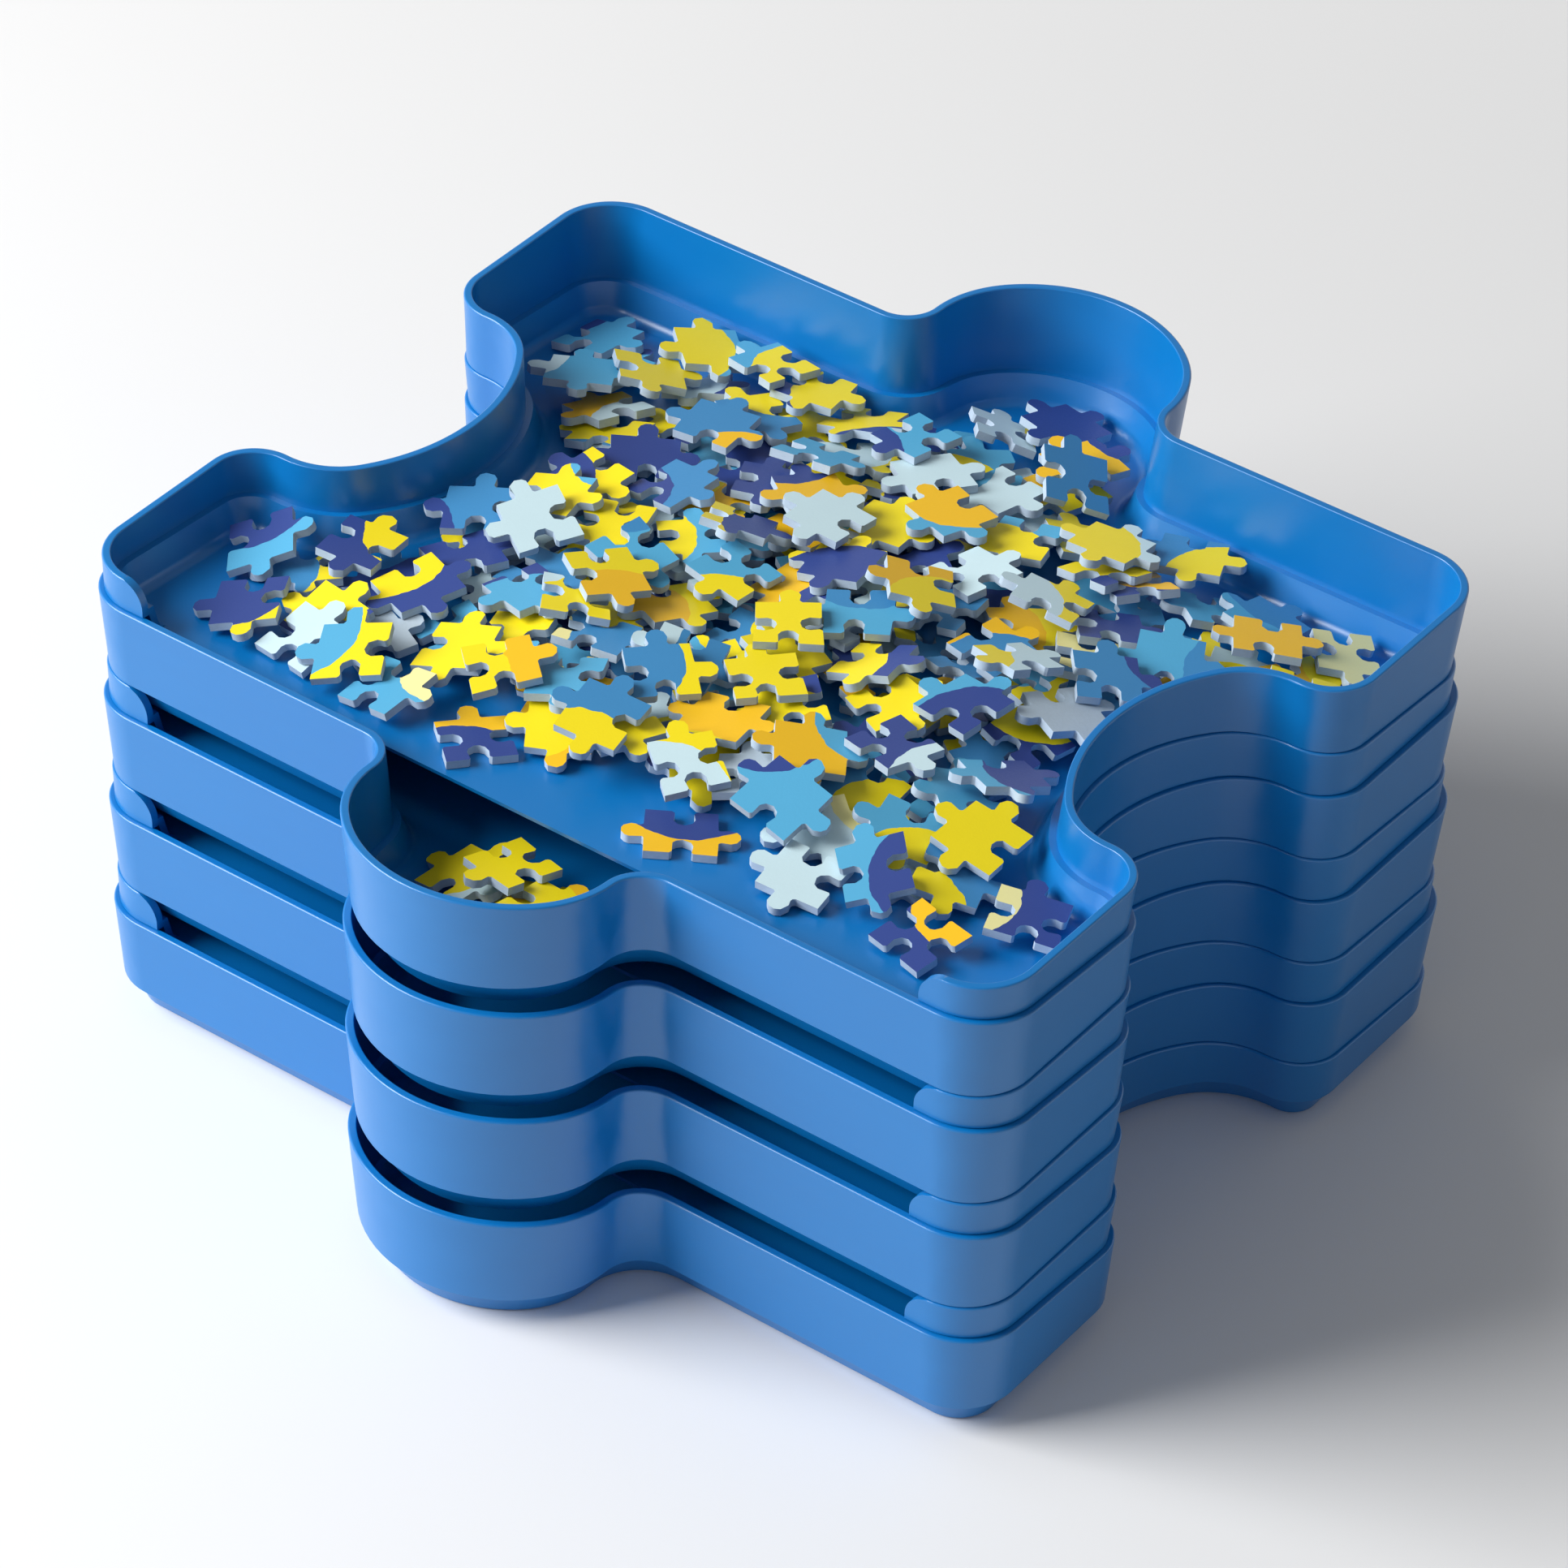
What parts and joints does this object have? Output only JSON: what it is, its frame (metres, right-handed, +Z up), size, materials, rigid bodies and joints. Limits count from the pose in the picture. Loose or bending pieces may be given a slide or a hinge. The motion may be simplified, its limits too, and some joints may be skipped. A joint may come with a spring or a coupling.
{
  "type": "puzzle sorter",
  "caption": "Stack of nesting puzzle-piece-shaped plastic sorting trays with wedge-shaped walls and an open pouring edge, holding loose jigsaw pieces in the top tray.",
  "frame": {"origin": "centre of the stack's bounding box in plan, on the surface that the lowest tray stands on", "axes": "+Z up; +Y the way the top tray's knob points, so its open pouring edge faces -Y; +X to the right seen from the open edge"},
  "size_m": [0.253, 0.2672, 0.1264],
  "materials": {
    "tray_plastic": "smooth injection-moulded",
    "card_yellow": "printed on one face, satin",
    "card_golden": "printed on one face, satin",
    "card_cream": "printed on one face, satin",
    "card_ice": "printed on one face, satin",
    "card_sky": "printed on one face, satin",
    "card_azure": "printed on one face, satin",
    "card_indigo": "printed on one face, satin"
  },
  "bodies": {
    "tray_1": {"tray_1": "tray_plastic", "loose_pieces_yellow": "card_yellow", "loose_pieces_golden": "card_golden", "loose_pieces_cream": "card_cream", "loose_pieces_ice": "card_ice", "loose_pieces_sky": "card_sky", "loose_pieces_azure": "card_azure", "loose_pieces_indigo": "card_indigo"},
    "tray_2": {"tray_2": "tray_plastic", "loose_pieces_in_tray_2": "card_yellow"},
    "tray_3": {"tray_3": "tray_plastic"},
    "tray_4": {"tray_4": "tray_plastic"},
    "tray_5": {"tray_5": "tray_plastic"},
    "tray_6": {"tray_6": "tray_plastic"},
    "tray_7": {"tray_7": "tray_plastic"},
    "tray_8": {"tray_8": "tray_plastic"}
  },
  "joints": [
    {"name": "tray_7_lift", "type": "slide", "parent": "tray_8", "child": "tray_7", "axis": [0, 0, 1], "range_m": [0, 0.04]},
    {"name": "tray_6_lift", "type": "slide", "parent": "tray_7", "child": "tray_6", "axis": [0, 0, 1], "range_m": [0, 0.04]},
    {"name": "tray_5_lift", "type": "slide", "parent": "tray_6", "child": "tray_5", "axis": [0, 0, 1], "range_m": [0, 0.04]},
    {"name": "tray_4_lift", "type": "slide", "parent": "tray_5", "child": "tray_4", "axis": [0, 0, 1], "range_m": [0, 0.04]},
    {"name": "tray_3_lift", "type": "slide", "parent": "tray_4", "child": "tray_3", "axis": [0, 0, 1], "range_m": [0, 0.04]},
    {"name": "tray_2_lift", "type": "slide", "parent": "tray_3", "child": "tray_2", "axis": [0, 0, 1], "range_m": [0, 0.04]},
    {"name": "tray_1_lift", "type": "slide", "parent": "tray_2", "child": "tray_1", "axis": [0, 0, 1], "range_m": [0, 0.04]}
  ]
}
